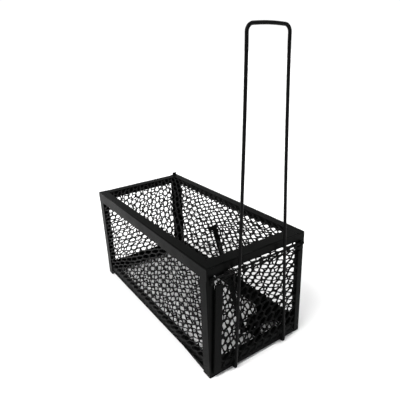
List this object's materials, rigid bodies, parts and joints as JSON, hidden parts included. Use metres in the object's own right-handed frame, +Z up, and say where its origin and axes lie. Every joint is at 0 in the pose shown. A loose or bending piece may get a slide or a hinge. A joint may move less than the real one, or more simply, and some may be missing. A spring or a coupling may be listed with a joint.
{
  "type": "live catch trap",
  "caption": "Box-shaped black wire-mesh live catch trap with folded sheet edges, a top-hinged mesh door, a tall bent setting wire and a treadle with a hooked trigger lever.",
  "frame": {"origin": "on the ground under the middle of the whole trap's box, the setting wire included", "axes": "+X to the right across the door seen from the front, +Y from the door towards the closed end, +Z up"},
  "size_m": [0.12, 0.2546, 0.3117],
  "materials": {
    "strip_paint": "satin black paint",
    "mesh_paint": "satin black dip paint",
    "wire_paint": "semi-gloss black paint",
    "spring_steel": "dark spring steel",
    "rivet_paint": "painted rivet heads"
  },
  "bodies": {
    "cage": {"post_front_left": "strip_paint", "post_front_right": "strip_paint", "post_back_left": "strip_paint", "post_back_right": "strip_paint", "top_strip_left": "strip_paint", "top_strip_right": "strip_paint", "top_strip_front": "strip_paint", "top_strip_back": "strip_paint", "floor_strip_left": "strip_paint", "floor_strip_right": "strip_paint", "floor_strip_front": "strip_paint", "floor_strip_back": "strip_paint", "mesh_left": "mesh_paint", "mesh_right": "mesh_paint", "mesh_back": "mesh_paint", "mesh_top": "mesh_paint", "mesh_floor": "mesh_paint", "hinge_rod": "wire_paint", "hinge_clips": "strip_paint", "clip_rivets": "rivet_paint", "spring_coil": "spring_steel", "pivot_bracket": "strip_paint", "pivot_pin": "rivet_paint"},
    "door": {"door_mesh": "mesh_paint", "door_strip_left": "strip_paint", "door_strip_right": "strip_paint", "door_strip_bottom": "strip_paint", "door_lower_rod": "wire_paint", "door_knuckles": "mesh_paint", "spring_arm": "spring_steel"},
    "wire": {"setting_wire": "wire_paint"},
    "trigger": {"trigger_lever": "strip_paint", "crank_plate": "strip_paint", "treadle_plate": "strip_paint", "lever_rivets": "rivet_paint"}
  },
  "joints": [
    {"name": "door_hinge", "type": "hinge", "parent": "cage", "child": "door", "pos_m": [0, -0.12046, 0.109], "axis": [-1, 0, 0], "range_deg": [0, 95], "stiffness_Nm_per_rad": 0.04, "springref_deg": -17.19},
    {"name": "handle_pivot", "type": "hinge", "parent": "door", "child": "wire", "pos_m": [0, -0.12046, 0.0042], "axis": [-1, 0, 0], "range_deg": [-6, 0]},
    {"name": "trigger_pivot", "type": "hinge", "parent": "cage", "child": "trigger", "pos_m": [0.0125, -0.09466, 0.021], "axis": [0, -1, 0], "range_deg": [0, 2.4]}
  ],
  "couplings": [
    {"joint": "handle_pivot", "follows": "door_hinge", "ratio": -0.058}
  ]
}
